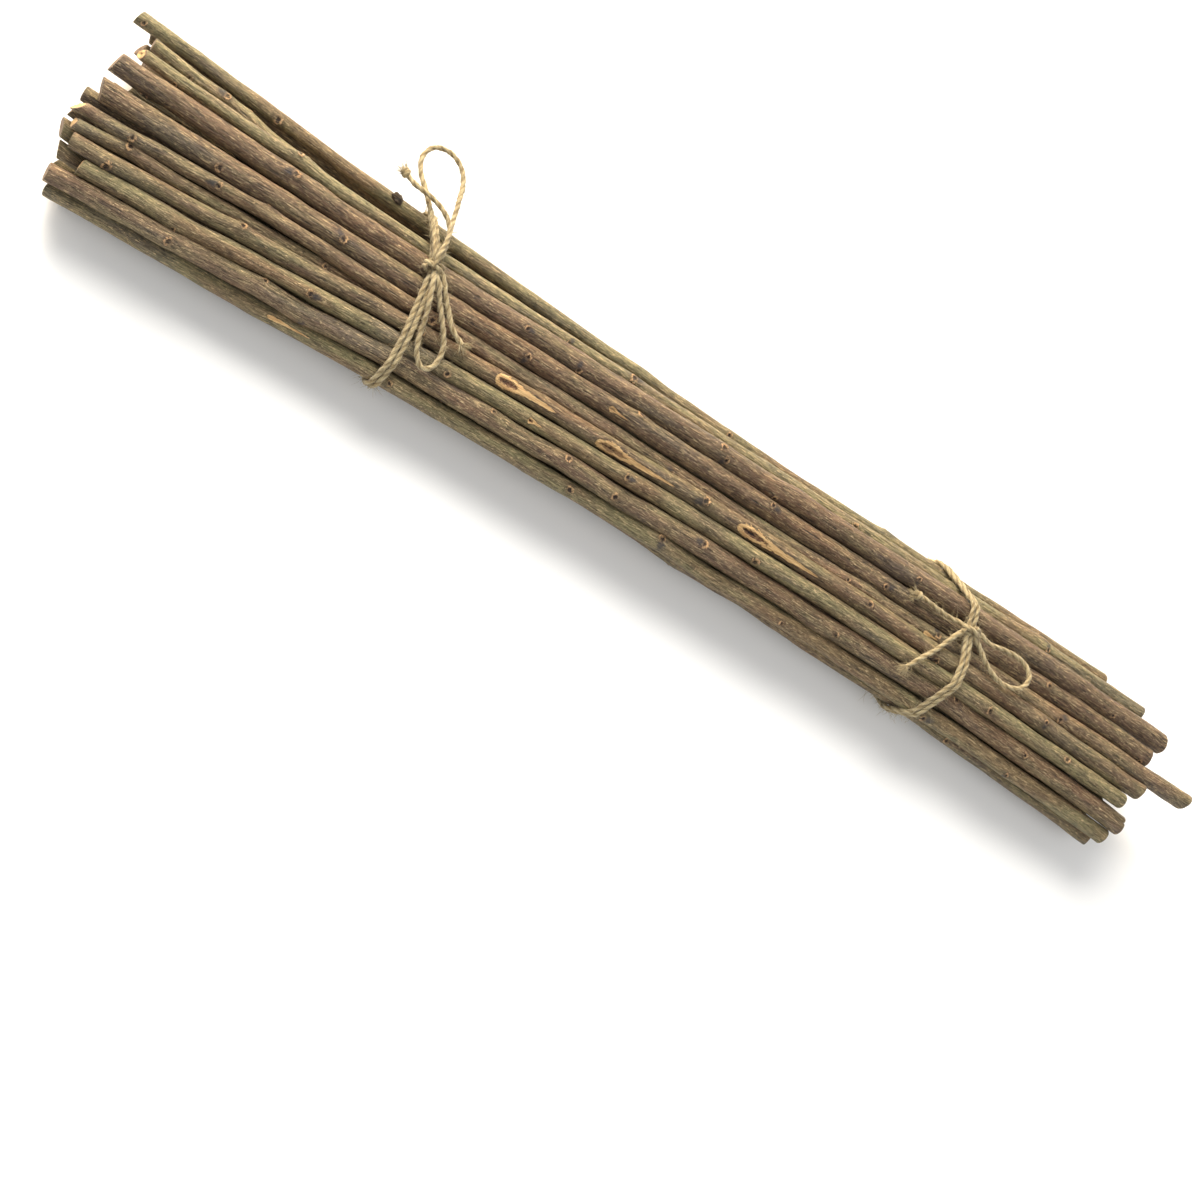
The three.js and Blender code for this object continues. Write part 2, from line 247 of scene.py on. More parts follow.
# The two ties: where the band runs, its knot, and the routes of the bow's free loops and tails.
TIES = {
    "wide_end": {
        "x": -0.1213,
        "slant": 0.006,
        "bulge": 0.0055,
        "knot": (-0.1183, 0.0095, 0.0345),
        "knot_angle": 83.5,
        "cords": {
            "upper_loop": [
                (-0.1206, 0.0142, 0.0352), (-0.1224, 0.0186, 0.0340), (-0.1248, 0.0234, 0.0324),
                (-0.1282, 0.0298, 0.0300), (-0.1328, 0.0370, 0.0274), (-0.1374, 0.0434, 0.0253),
                (-0.1393, 0.0498, 0.0243), (-0.1369, 0.0555, 0.0238), (-0.1313, 0.0572, 0.0240),
                (-0.1256, 0.0544, 0.0249), (-0.1222, 0.0485, 0.0264), (-0.1206, 0.0394, 0.0288),
                (-0.1194, 0.0300, 0.0312), (-0.1182, 0.0204, 0.0336), (-0.1178, 0.0142, 0.0353),
            ],
            "upper_tail": [
                (-0.1192, 0.0134, 0.0377), (-0.1189, 0.0200, 0.0364), (-0.1204, 0.0262, 0.0350),
                (-0.1247, 0.0308, 0.0334), (-0.1312, 0.0336, 0.0320), (-0.1374, 0.0352, 0.0300),
                (-0.1429, 0.0384, 0.0278),
            ],
            "lower_loop": [
                (-0.1166, 0.0048, 0.0364), (-0.1150, -0.0006, 0.0364), (-0.1126, -0.0074, 0.0350),
                (-0.1106, -0.0150, 0.0326), (-0.1082, -0.0204, 0.0313), (-0.1046, -0.0232, 0.0304),
                (-0.1016, -0.0217, 0.0309), (-0.1006, -0.0169, 0.0316), (-0.1024, -0.0112, 0.0327),
                (-0.1068, -0.0052, 0.0338), (-0.1112, 0.0006, 0.0346), (-0.1140, 0.0049, 0.0356),
            ],
            "lower_tail": [
                (-0.1134, 0.0080, 0.0346), (-0.1104, 0.0042, 0.0342), (-0.1068, -0.0004, 0.0340),
                (-0.1022, -0.0058, 0.0338), (-0.0962, -0.0090, 0.0332),
            ],
        },
    },
    "narrow_end": {
        "x": 0.113,
        "slant": 0.006,
        "bulge": 0.015,
        "knot": (0.1274, 0.0056, 0.0376),
        "knot_angle": 91,
        "cords": {
            "loop": [
                (0.1318, 0.0070, 0.0370), (0.1376, 0.0060, 0.0366), (0.1434, 0.0074, 0.0362),
                (0.1492, 0.0082, 0.0360), (0.1552, 0.0074, 0.0358), (0.1586, 0.0034, 0.0364),
                (0.1568, -0.0020, 0.0370), (0.1522, -0.0046, 0.0370), (0.1464, -0.0050, 0.0370),
                (0.1404, -0.0030, 0.0372), (0.1354, 0.0006, 0.0372), (0.1319, 0.0034, 0.0372),
            ],
            "upper_tail": [
                (0.1229, 0.0068, 0.0364), (0.1174, 0.0066, 0.0356), (0.1116, 0.0069, 0.0354),
                (0.1064, 0.0074, 0.0354), (0.1016, 0.0070, 0.0354),
            ],
            "lower_tail": [
                (0.1238, 0.0030, 0.0370), (0.1210, -0.0012, 0.0374), (0.1182, -0.0064, 0.0370),
                (0.1156, -0.0104, 0.0370), (0.1124, -0.0146, 0.0369), (0.1088, -0.0204, 0.0350),
            ],
        },
    },
}


def ply_outline(angles):
    """How far the outline of the laid plies is from the twine's centre, at each angle round it."""
    nearest = wrapped(angles * PLIES) / PLIES
    return PLY_OFFSET * np.cos(nearest) + np.sqrt(PLY_RADIUS**2 - (PLY_OFFSET * np.sin(nearest)) ** 2)


def twine_mesh(name, line, rng):
    """One length of laid twine along the line."""
    count = len(line)
    along = np.arange(count)[:, None] * TWINE_STEP
    tangents, across, over = frames_along(line)
    sides = round_angles(TWINE_SIDES)
    turned = sides - 2 * np.pi * along / PLY_TURN
    thickness = 1 + SWELL_HEIGHT * blurred(rng.normal(0, SWELL_SPREAD, count), SWELL_REACH)
    reach = ply_outline(turned) * thickness[:, None]
    reach *= 1 + SURFACE_ROUGHNESS * rng.normal(0, 1, reach.shape)
    around = across[:, None] * np.cos(sides)[:, None] + over[:, None] * np.sin(sides)[:, None]
    points = line[:, None] + around * reach[:, :, None]
    tips = (line[0] - TIP_BULGE * tangents[0], line[-1] + TIP_BULGE * tangents[-1])
    fibre = joined(along / MM, np.cos(turned), np.sin(turned))
    laid = joined(reach / TWINE_RADIUS, rng.uniform(0, 1), 0.0)
    attributes = [
        ("fibre", with_tips(fibre, (along[0, 0] / MM, 0, 0), (along[-1, 0] / MM, 0, 0))),
        ("laid", with_tips(laid, [TIP_SHADE] * 3, [TIP_SHADE] * 3)),
    ]
    return add_object(name, with_tips(points, *tips), grid_faces(count, TWINE_SIDES), attributes)


# ---- The CAD twigs that everything lies on ----

RING_GAP = 8 * MM

# The angles round the bundle, in degrees from the knot, at which a strand lies on the twigs.
STRAND_ANGLES = np.arange(3, 358, 1.5)
STRAND_SMOOTHING = 5


def cad_rings(node):
    """A CAD twig's rings: their centres' x, y and z, their radii, and the slopes of their planes."""
    corners = np.array([v.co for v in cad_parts[node].data.vertices])
    corners = np.unique(np.round(corners, 6), axis=0)
    corners = corners[np.argsort(corners[:, 0])]
    splits = np.flatnonzero(np.diff(corners[:, 0]) > RING_GAP) + 1
    rings = []
    for ring in np.split(corners, splits):
        centre = (ring.min(0) + ring.max(0)) / 2
        spokes = ring - centre
        slope = np.linalg.lstsq(spokes[:, 1:], spokes[:, 0], rcond=None)[0]
        rings.append([*centre, np.hypot(spokes[:, 1], spokes[:, 2]).max(), *slope])
    return np.array(rings)


TWIG_NAMES = sorted(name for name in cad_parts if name.startswith("twig_"))
RINGS = {name: cad_rings(name) for name in TWIG_NAMES}


def twig_at(rings, x):
    """A twig's middle, as y and z, and its radius at x."""
    return [np.interp(x, rings[:, 0], rings[:, k]) for k in (1, 2, 3)]


def outline_point(x, angle):
    """The point of the bundle's outline that faces the angle, with the twine lying on the twig there."""
    facing = np.array([math.cos(angle), math.sin(angle)])
    twigs = (twig_at(rings, x) for rings in RINGS.values())
    y, z, radius = max(twigs, key=lambda twig: facing @ twig[:2] + twig[2])
    distance = radius + TWINE_RADIUS + BAND_LIFT
    return np.array([x, y + distance * facing[0], z + distance * facing[1]])


def band_point(tie, angle, offset):
    _, y, z = outline_point(tie["x"], angle)
    over_top = max(z - BAND_MIDDLE, 0) / BAND_MIDDLE
    x = tie["x"] - tie["slant"] * y / BAND_HALF_WIDTH + tie["bulge"] * over_top + offset
    return outline_point(x, angle)


def strand_line(tie, offset):
    """Once round the twigs, from inside the knot back into it."""
    knot = np.array(tie["knot"])
    inside = knot + (offset, 0, -KNOT_RISE)
    angles = np.radians(tie["knot_angle"] + STRAND_ANGLES)
    points = [inside, *(band_point(tie, angle, offset) for angle in angles), inside]
    line = even_steps(np.array(points), TWINE_STEP)
    return even_steps(blurred(line, STRAND_SMOOTHING), TWINE_STEP)


# ---- Bows ----

BEHIND_KNOT = 0.6 * MM
KNOT_TURNS = 1.8
KNOT_START = 0.4
POINTS_PER_TURN = 24
KNOT_SIZES = (3.1 * MM, 1.9 * MM)
END_KNOT_SIZES = (0.95 * MM, 1.0 * MM)
KNOT_DRIFT = 3.0 * MM
END_KNOT_DRIFT = 1.8 * MM

# Where a tail comes from inside its knot, before the first point of its route.
TAIL_STARTS = {
    "upper_tail_wide_end": [(-0.1186, 0.0085, 0.0364)],
    "lower_tail_wide_end": [(-0.1206, 0.0142, 0.0340), (-0.1172, 0.0108, 0.0350)],
    "upper_tail_narrow_end": [(0.1322, 0.0044, 0.0366), (0.1274, 0.0062, 0.0370)],
    "lower_tail_narrow_end": [(0.1312, 0.0064, 0.0368), (0.1274, 0.0048, 0.0374)],
}
KNOTTED_TAILS = ("upper_tail_wide_end", "upper_tail_narrow_end")


def coil(centre, axes, sizes, turns, drift):
    """An oval coil round the third axis, drifting along it."""
    count = round(POINTS_PER_TURN * turns)
    t = np.linspace(KNOT_START, KNOT_START + turns, count)[:, None] * 2 * np.pi
    share = np.linspace(-0.5, 0.5, len(t))[:, None]
    round_it = sizes[0] * np.cos(t) * axes[0] + sizes[1] * np.sin(t) * axes[1]
    return np.array(centre) + round_it + drift * share * axes[2]


def cord_line(tie, cord, name):
    """The route of a loop or tail, with the hidden stretch that it has inside the knot."""
    route = tie["cords"][cord]
    if name in TAIL_STARTS:
        return through([*TAIL_STARTS[name], *route], TWINE_STEP)
    inside = np.array(tie["knot"]) - (0, 0, BEHIND_KNOT)
    return through([inside + (BEHIND_KNOT, 0, 0), *route, inside - (BEHIND_KNOT, 0, 0)], TWINE_STEP)


# ---- Loose fibres ----

FIBRE_POINTS = 6
FIBRE_SIDES = 3
FIBRE_RADIUS = 0.075 * MM
FIBRE_CURL = 0.45
FIBRE_TAPER = 0.5
FIBRE_ROOT = 0.75 * TWINE_RADIUS
FIBRE_LEAN = 1.4
FIBRE_SCATTER = 0.25
FIBRES_PER_MM = 3.4
SHORTEST_FIBRE_MM = 1.0
LONGEST_FIBRE_MM = 7
FIBRE_LENGTH_SHAPE = 1.3
TUFT_FIBRES = 80
TUFT_RADIUS = 0.11 * MM
TUFT_SPREAD = (0.05, 1.0)
TUFT_WIDTH = 0.9
TUFT_DEPTH = 0.5 * MM
TUFT_SCATTER = 0.12
TUFT_LENGTHS_MM = (1.8, 4.6)
NOT_IN_GROOVE = [1.0, 0.5, 0.0]


def unit(vectors):
    return vectors / np.linalg.norm(vectors, axis=-1, keepdims=True)


def fibres_mesh(name, starts, ways, lengths, radius, rng):
    """Curled, pointed fibres as one mesh."""
    count = len(starts)
    t = np.linspace(0, 1, FIBRE_POINTS + 1)[None, :, None]
    curl = FIBRE_CURL * np.cross(ways, rng.normal(0, 1, (count, 3)))
    reach = lengths[:, None, None]
    lines = starts[:, None] + reach * (ways[:, None] * t + curl[:, None] * t**2)
    lines[..., 2] = np.maximum(lines[..., 2], CAD_BOX[0].z + radius)
    across = unit(np.cross(ways, rng.normal(0, 1, (count, 3))))
    over = np.cross(ways, across)
    turns = round_angles(FIBRE_SIDES)
    ring = np.cos(turns)[:, None] * across[:, None] + np.sin(turns)[:, None] * over[:, None]
    taper = radius * np.linspace(1, FIBRE_TAPER, FIBRE_POINTS)[None, :, None, None]
    body = (lines[:, :-1, None] + taper * ring[:, None]).reshape(count, -1, 3)
    points = np.concatenate([body, lines[:, :1], lines[:, -1:]], axis=1)
    faces = grid_faces(FIBRE_POINTS, FIBRE_SIDES)
    size = points.shape[1]
    every = [tuple(i * size + corner for corner in face) for i in range(count) for face in faces]
    total = count * size
    attributes = [("fibre", np.zeros((total, 3))), ("laid", np.tile(NOT_IN_GROOVE, (total, 1)))]
    return add_object(name, points.reshape(-1, 3), every, attributes)


def loose_fibres(line, rng):
    """Where fibres stand out of a length of twine: their starts, directions and lengths."""
    count = round(length_of(line) / MM * FIBRES_PER_MM)
    tangents, across, over = frames_along(line)
    at = rng.integers(2, len(line) - 2, count)
    turn = rng.uniform(0, 2 * np.pi, count)[:, None]
    outward = np.cos(turn) * across[at] + np.sin(turn) * over[at]
    lean = rng.normal(0, FIBRE_LEAN, count)[:, None]
    ways = unit(outward + lean * tangents[at] + rng.normal(0, FIBRE_SCATTER, (count, 3)))
    lengths = SHORTEST_FIBRE_MM + rng.gamma(FIBRE_LENGTH_SHAPE, 1.0, count)
    return line[at] + FIBRE_ROOT * outward, ways, MM * np.minimum(lengths, LONGEST_FIBRE_MM)


def tuft(line, rng):
    """The frayed end of a tail."""
    tangents, across, over = frames_along(line)
    turn = rng.uniform(0, 2 * np.pi, TUFT_FIBRES)[:, None]
    outward = np.cos(turn) * across[-1] + np.sin(turn) * over[-1]
    spread = rng.uniform(*TUFT_SPREAD, TUFT_FIBRES)[:, None]
    ways = unit(tangents[-1] + spread * outward + rng.normal(0, TUFT_SCATTER, (TUFT_FIBRES, 3)))
    starts = line[-1] - TUFT_DEPTH * tangents[-1] + TUFT_WIDTH * spread * TWINE_RADIUS * outward
    return starts, ways, MM * rng.uniform(*TUFT_LENGTHS_MM, TUFT_FIBRES)


# ---- Tying the bundle ----


def finish_piece(piece, material, slot, *nodes):
    """Gives a piece its material, hangs it under the root body and hides the CAD nodes that it stands for;
    the slot is not used.
    """
    piece.data.materials.append(material)
    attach(piece, "root")
    if nodes:
        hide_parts(*nodes)
    return piece


def finish_twine(piece, *nodes):
    return finish_piece(piece, TWINE, "twine", *nodes)


def add_end_of_tail(name, line, rng):
    """The pieces at a tail's tip: a frayed tuft, and on some tails a small knot before it."""
    tip = fibres_mesh(f"twine_tip_{name}", *tuft(line, rng), TUFT_RADIUS, rng)
    pieces = [finish_twine(tip)]
    if name in KNOTTED_TAILS:
        tangents, across, over = frames_along(line)
        axes = (across[-1], over[-1], tangents[-1])
        centre = line[-1] - END_KNOT_DRIFT / 2 * tangents[-1]
        turns = even_steps(coil(centre, axes, END_KNOT_SIZES, KNOT_TURNS, END_KNOT_DRIFT), TWINE_STEP)
        pieces.append(finish_twine(twine_mesh(f"twine_end_knot_{name}", turns, rng)))
    return pieces


def far_end_of(cord, name):
    """What a cord ends in: a loop goes back into its knot, and a tail ends knotted or bare."""
    if not cord.endswith("tail"):
        return "object"
    return "knot" if name in KNOTTED_TAILS else "bare"


def add_cord(tie, cord, name, rng):
    line = cord_line(tie, cord, name)
    piece = finish_twine(twine_mesh(f"twine_{name}_laid", line, rng), f"twine_{name}")
    far_end = far_end_of(cord, name)
    tips = [] if far_end == "object" else add_end_of_tail(name, line, rng)
    return line


def add_tie(tie_name, tie, rng):
    lines = [add_cord(tie, cord, f"{cord}_{tie_name}", rng) for cord in tie["cords"]]
    band = f"twine_band_{tie_name}"
    for side, offset in (("left", -STRAND_SPACING / 2), ("right", STRAND_SPACING / 2)):
        line = strand_line(tie, offset)
        finish_twine(twine_mesh(f"{band}_{side}", line, rng), band)
        lines.append(line)
    axes = (np.array([1.0, 0.0, 0.0]), np.array([0.0, 0.0, 1.0]), np.array([0.0, 1.0, 0.0]))
    turns = even_steps(coil(tie["knot"], axes, KNOT_SIZES, KNOT_TURNS, KNOT_DRIFT), TWINE_STEP)
    finish_twine(twine_mesh(f"twine_knot_{tie_name}", turns, rng), band)
    lines.append(turns)
    parts = [loose_fibres(line, rng) for line in lines]
    starts, ways, lengths = (np.concatenate(values) for values in zip(*parts))
    fuzz = fibres_mesh(f"twine_fuzz_{tie_name}", starts, ways, lengths, FIBRE_RADIUS, rng)
    finish_twine(fuzz)


# ---- Materials ----


def srgb(red, green, blue):
    """A colour given from 0 to 255, as a linear colour."""
    shares = [value / 255 for value in (red, green, blue)]
    return (*(s / 12.92 if s <= 0.04045 else ((s + 0.055) / 1.055) ** 2.4 for s in shares), 1.0)


class Shader:
    """Short calls that build one material's node tree.

    A value is a number, a tuple or another node's output.
    """

    def __init__(self, name):
        self.material = bpy.data.materials.new(name)
        self.material.use_nodes = True
        self.tree = self.material.node_tree
        self.tree.nodes.clear()

    def put(self, socket, value):
        if isinstance(value, bpy.types.NodeSocket):
            self.tree.links.new(value, socket)
        else:
            socket.default_value = value

    def node(self, kind, inputs, **settings):
        node = self.tree.nodes.new(f"ShaderNode{kind}")
        for key, value in settings.items():
            setattr(node, key, value)
        for key, value in inputs.items():
            self.put(node.inputs[key], value)
        return node

    def attribute(self, name):
        return self.node("Attribute", {}, attribute_name=name).outputs["Vector"]

    def parts(self, vector):
        return self.node("SeparateXYZ", {0: vector}).outputs

    def math(self, operation, a, b=0.0):
        return self.node("Math", {0: a, 1: b}, operation=operation).outputs[0]

    def plus(self, a, b):
        return self.math("ADD", a, b)

    def minus(self, a, b):
        return self.math("SUBTRACT", a, b)

    def times(self, *factors):
        product = factors[0]
        for factor in factors[1:]:
            product = self.math("MULTIPLY", product, factor)
        return product

    def scaled(self, vector, factors):
        return self.node("VectorMath", {0: vector, 1: factors}, operation="MULTIPLY").outputs[0]

    def length(self, x, y):
        flat = self.node("CombineXYZ", {0: x, 1: y}).outputs[0]
        return self.node("VectorMath", {0: flat}, operation="LENGTH").outputs["Value"]

    def noise(self, vector, along, across, detail, roughness=0.55, distortion=0.0):
        """Noise that changes along times a millimetre in the vector's x, and across times in its y and z."""
        inputs = {
            "Vector": self.scaled(vector, (along, across, across)), "Scale": 1.0, "Detail": detail,
            "Roughness": roughness, "Distortion": distortion,
        }
        return self.node("TexNoise", inputs).outputs[0]

    def ramp(self, value, low, high):
        """0 below low and 1 above high, with a smooth change between them; high may be the lower one."""
        inputs = {"Value": value, "From Min": low, "From Max": high}
        return self.node("MapRange", inputs, interpolation_type="SMOOTHSTEP").outputs[0]

    def span(self, value, low, high):
        """A value from 0 to 1 as one from low to high."""
        return self.node("MapRange", {"Value": value, "To Min": low, "To Max": high}).outputs[0]

    def mix(self, share, a, b, blend="MIX"):
        return self.node("Mix", {0: share, 6: a, 7: b}, data_type="RGBA", blend_type=blend).outputs[2]

    def tint(self, colour, other, *shares):
        """The other colour over this one, as strongly as the product of the shares."""
        return self.mix(self.times(*shares), colour, other)

    def finish(self, colour, roughness, height, bump_distance, **constants):
        normal = self.node("Bump", {"Height": height, "Strength": 1.0, "Distance": bump_distance})
        inputs = {"Base Color": colour, "Roughness": roughness, "Normal": normal.outputs[0], **constants}
        surface = self.node("BsdfPrincipled", inputs)
        self.node("OutputMaterial", {"Surface": surface.outputs[0]})
        return self.material


TWINE_DARK = srgb(124, 108, 76)
TWINE_PALE = srgb(200, 184, 144)
TWINE_WARM = srgb(158, 134, 92)
# Painted shade: the colour that the grooves between the plies are darkened towards.
TWINE_GROOVE_SHADE = srgb(104, 86, 54)


def make_twine():
    """Jute: pale fibres laid along the plies, with painted shade in the grooves between them."""
    s = Shader("twine")
    fibre = s.attribute("fibre")
    out_of_groove = s.parts(s.attribute("laid"))[0]
    streaks = s.noise(fibre, 0.5, 5.0, 6.0, 0.7)
    patches = s.noise(fibre, 0.12, 0.6, 2.0)
    colour = s.mix(s.ramp(streaks, 0.36, 0.66), TWINE_DARK, TWINE_PALE)
    colour = s.tint(colour, TWINE_WARM, s.ramp(patches, 0.55, 0.75), 0.7)
    # Painted shade in the grooves, strongest where the twine's outline lies lowest; the cut tips count as in
    # a groove.
    colour = s.tint(colour, TWINE_GROOVE_SHADE, s.ramp(out_of_groove, 0.96, 0.8), 0.75)
    height = s.plus(s.times(streaks, 1.3), out_of_groove)
    return s.finish(
        colour, 0.9, height, 0.14 * MM,
        **{"Specular IOR Level": 0.2, "Sheen Weight": 0.2, "Sheen Roughness": 0.6},
    )


BARK_OLIVE = srgb(131, 122, 86)
BARK_BROWN = srgb(122, 98, 76)
BARK_RUST = srgb(128, 95, 68)
BARK_DARK = srgb(46, 38, 30)
BARK_PALE = srgb(196, 172, 128)
BARK_BLUE = srgb(98, 92, 84)
SCAR_RING = srgb(228, 184, 134)
# Dark brown of the scars and of the wounds' torn edges; in a bud scar's pit it is also painted shade.
SCAR_DARK_AND_PIT_SHADE = srgb(44, 28, 22)
SCAR_SMEAR = srgb(52, 50, 54)
WOOD_PALE = srgb(240, 202, 142)
WOOD_DEEP = srgb(204, 160, 106)
WOOD_OLD = srgb(140, 112, 80)
WOUND_PIT = srgb(124, 80, 56)
# Dark specks in a wound's pit, and the painted shade of the hole in its middle.
WOUND_DARK_AND_HOLE_SHADE = srgb(38, 24, 18)

# The pit at a wound's head and the darker hole in it, which is painted shade: how far along the wound its
# middle is, and how steeply it falls off along the wound and across it.
PIT_SHAPE = (0.21, 5.6, 1.75)
HOLE_SHAPE = (0.17, 9.0, 2.8)


def plain_bark(s, grain, olive):
    """Brown or olive bark, with rusty and bluish clouds."""
    patches = s.noise(grain, 0.045, 0.22, 3.0)
    clouds = s.noise(grain, 0.016, 0.09, 2.0)
    greener = s.plus(olive, s.span(patches, -0.8, 0.8))
    colour = s.mix(s.ramp(greener, 0.1, 0.95), BARK_BROWN, BARK_OLIVE)
    colour = s.tint(colour, BARK_RUST, s.ramp(clouds, 0.52, 0.66), 0.55)
    return s.tint(colour, BARK_BLUE, s.ramp(clouds, 0.44, 0.34), 0.45)


def with_streaks(s, colour, grain, fissures, ridged):
    """Dark fissures, then streaks and specks, which all run along the bark."""
    streaks = s.noise(grain, 0.15, 2.6, 6.0, 0.7)
    specks = s.noise(grain, 0.5, 2.2, 3.0, 0.6)
    colour = s.tint(colour, BARK_DARK, s.ramp(fissures, 0.49, 0.39), s.span(ridged, 0.5, 0.95))
    colour = s.tint(colour, BARK_PALE, s.ramp(streaks, 0.54, 0.64), s.span(ridged, 0.55, 0.95))
    colour = s.tint(colour, BARK_PALE, s.ramp(specks, 0.6, 0.65), 0.85)
    return s.tint(colour, BARK_DARK, s.ramp(specks, 0.38, 0.33), 0.8)


def pale_dots(s, grain):
    """Scattered dots: 1 on a dot and 0 off it."""
    dots = s.node("TexVoronoi", {"Vector": s.scaled(grain, (0.4, 0.8, 0.8)), "Scale": 1.0})
    chosen = s.ramp(s.parts(dots.outputs["Color"])[0], 0.66, 0.7)
    return s.times(s.ramp(dots.outputs["Distance"], 0.2, 0.08), chosen)


def whole_bark(s, grain, look):
    """The colour and relief of the bark away from its scars."""
    olive, light, ridged = s.parts(look)
    fissures = s.noise(grain, 0.09, 1.6, 8.0, 0.72, distortion=0.4)
    grit = s.noise(grain, 0.28, 2.8, 5.0, 0.8)
    dots = pale_dots(s, grain)
    colour = with_streaks(s, plain_bark(s, grain, olive), grain, fissures, ridged)
    colour = s.tint(colour, BARK_PALE, dots, 0.6)
    shade = s.times(light, s.span(s.ramp(grit, 0.36, 0.64), 0.42, 1.38))
    grey = s.node("CombineColor", {0: shade, 1: shade, 2: shade}).outputs[0]
    colour = s.mix(1.0, colour, grey, "MULTIPLY")
    height = s.plus(s.times(fissures, s.span(ridged, 1.6, 3.2)), s.times(dots, 0.3))
    return colour, s.plus(height, s.times(grit, 0.8))


def with_scars(s, colour, height, grain):
    """Bud scars: part of a pale ring round a dark pit, whose dark is partly the scar's own colour and partly
    painted shade in the carved pit, some with a dark smear on one side.
    """
    u, v, kind = s.parts(s.attribute("bud"))
    wobble = s.span(s.noise(grain, 1.3, 1.3, 5.0, 0.7), -1.3, 1.3)
    whole = s.math("FRACT", s.times(kind, 5.0))
    broken = s.ramp(s.noise(grain, 1.1, 1.1, 3.0), 0.36, 0.48)
    away = s.plus(s.length(u, v), wobble)
    smear_away = s.length(s.times(s.minus(u, 1.9), 0.55), s.times(v, 0.9))
    smear = s.times(s.ramp(s.plus(smear_away, wobble), 1.3, 0.4), s.ramp(kind, 0.5, 0.6))
    strong_side = s.ramp(s.plus(u, s.times(wobble, 1.5)), 0.7, -0.6)
    ring = s.times(s.ramp(away, 0.45, 0.8), s.ramp(away, 1.35, 1.0))
    ring = s.times(ring, s.span(strong_side, 0.15, 1.1), broken, s.span(whole, 0.7, 1.1))
    pit = s.times(s.ramp(away, 0.7, 0.3), s.span(whole, 0.95, 0.55))
    colour = s.tint(colour, SCAR_DARK_AND_PIT_SHADE, s.ramp(away, 2.6, 1.2), 0.3)
    colour = s.tint(colour, SCAR_SMEAR, smear, 0.75)
    colour = s.tint(colour, SCAR_RING, ring)
    relief = s.minus(s.times(ring, 1.2), s.times(pit, 1.4))
    # The pit: the scar's own dark, deepened with painted shade where the pit is carved in.
    return s.tint(colour, SCAR_DARK_AND_PIT_SHADE, pit), s.plus(height, relief)


def from_middle(s, along, across, shape):
    """How far a point is from the middle of a wound's pit or hole."""
    middle, lengthwise, crosswise = shape
    return s.length(s.times(s.minus(along, middle), lengthwise), s.times(across, crosswise))


def torn_wood(s, lines):
    """Bare wood, with darker lines along its grain."""
    wood = s.mix(s.ramp(lines, 0.4, 0.6), WOOD_DEEP, WOOD_PALE)
    return s.tint(wood, WOUND_PIT, s.ramp(lines, 0.4, 0.3), 0.8)


def pit_wood(s, grain):
    """The speckled, brown wood of a wound's pit."""
    speckled = s.noise(grain, 1.2, 2.4, 4.0, 0.7)
    wood = s.mix(s.ramp(speckled, 0.42, 0.6), WOUND_PIT, WOOD_OLD)
    return s.mix(s.ramp(speckled, 0.46, 0.38), wood, WOUND_DARK_AND_HOLE_SHADE)


def with_wounds(s, colour, height, grain):
    """Places where a side shoot was torn off: bare wood with a dark, hollow head; the hole in it is painted
    shade.
    """
    along, across, depth = s.parts(s.attribute("wound"))
    wobble = s.span(s.noise(grain, 0.6, 1.8, 5.0, 0.65), -0.85, 0.85)
    lines = s.noise(grain, 0.15, 3.2, 5.0, 0.65)
    beside = s.plus(s.math("ABSOLUTE", across), wobble)
    edge = s.times(s.ramp(beside, 1.6, 1.1), s.ramp(along, -0.05, 0.0), s.ramp(along, 1.03, 0.97))
    inside = s.times(s.ramp(beside, 1.05, 0.9), s.ramp(along, 0.0, 0.03), s.ramp(along, 1.0, 0.95))
    pit_away = s.plus(from_middle(s, along, across, PIT_SHAPE), wobble)
    pit = s.times(s.ramp(pit_away, 0.95, 0.8), depth)
    # The hole: painted shade in the middle of the pit, as strong as the wound is hollow.
    hole_away = s.plus(from_middle(s, along, across, HOLE_SHAPE), s.times(wobble, 2.0))
    hole = s.times(s.ramp(hole_away, 0.6, 0.3), depth)
    colour = s.tint(colour, SCAR_DARK_AND_PIT_SHADE, edge, 0.45)
    colour = s.tint(colour, torn_wood(s, lines), inside)
    colour = s.tint(colour, pit_wood(s, grain), pit)
    relief = s.minus(s.times(lines, inside), s.plus(pit, hole))
    return s.tint(colour, WOUND_DARK_AND_HOLE_SHADE, hole), s.plus(height, relief)


def with_cut_faces(s, colour, grain):
    """The cut ends: weathered or fresh wood with faint rings, a brown pith and the bark's edge."""
    face, share, fresh = s.parts(s.attribute("cut"))
    spots = s.noise(grain, 0.9, 0.9, 5.0, 0.65)
    rings = s.math("SINE", s.plus(s.times(share, 34.0), s.times(spots, 5.0)))
    old_wood = s.mix(s.span(rings, 0.3, 0.7), WOOD_OLD, BARK_BROWN)
    new_wood = s.mix(s.span(rings, 0.35, 0.65), WOOD_PALE, WOOD_DEEP)
    wood = s.mix(fresh, old_wood, new_wood)
    wood = s.tint(wood, BARK_BROWN, s.ramp(spots, 0.52, 0.72))
    wood = s.tint(wood, WOUND_PIT, s.ramp(share, 0.17, 0.1))
    wood = s.tint(wood, BARK_BROWN, s.ramp(share, 0.84, 0.92))
    return s.tint(colour, wood, face)


def make_bark():
    s = Shader("bark")
    grain = s.attribute("grain")
    colour, height = whole_bark(s, grain, s.attribute("look"))
    colour, height = with_scars(s, colour, height, grain)
    colour, height = with_wounds(s, colour, height, grain)
    colour = with_cut_faces(s, colour, grain)
    roughness = s.span(s.noise(grain, 0.3, 0.8, 3.0), 0.42, 0.72)
    return s.finish(colour, roughness, height, 0.4 * MM, **{"Specular IOR Level": 0.4})


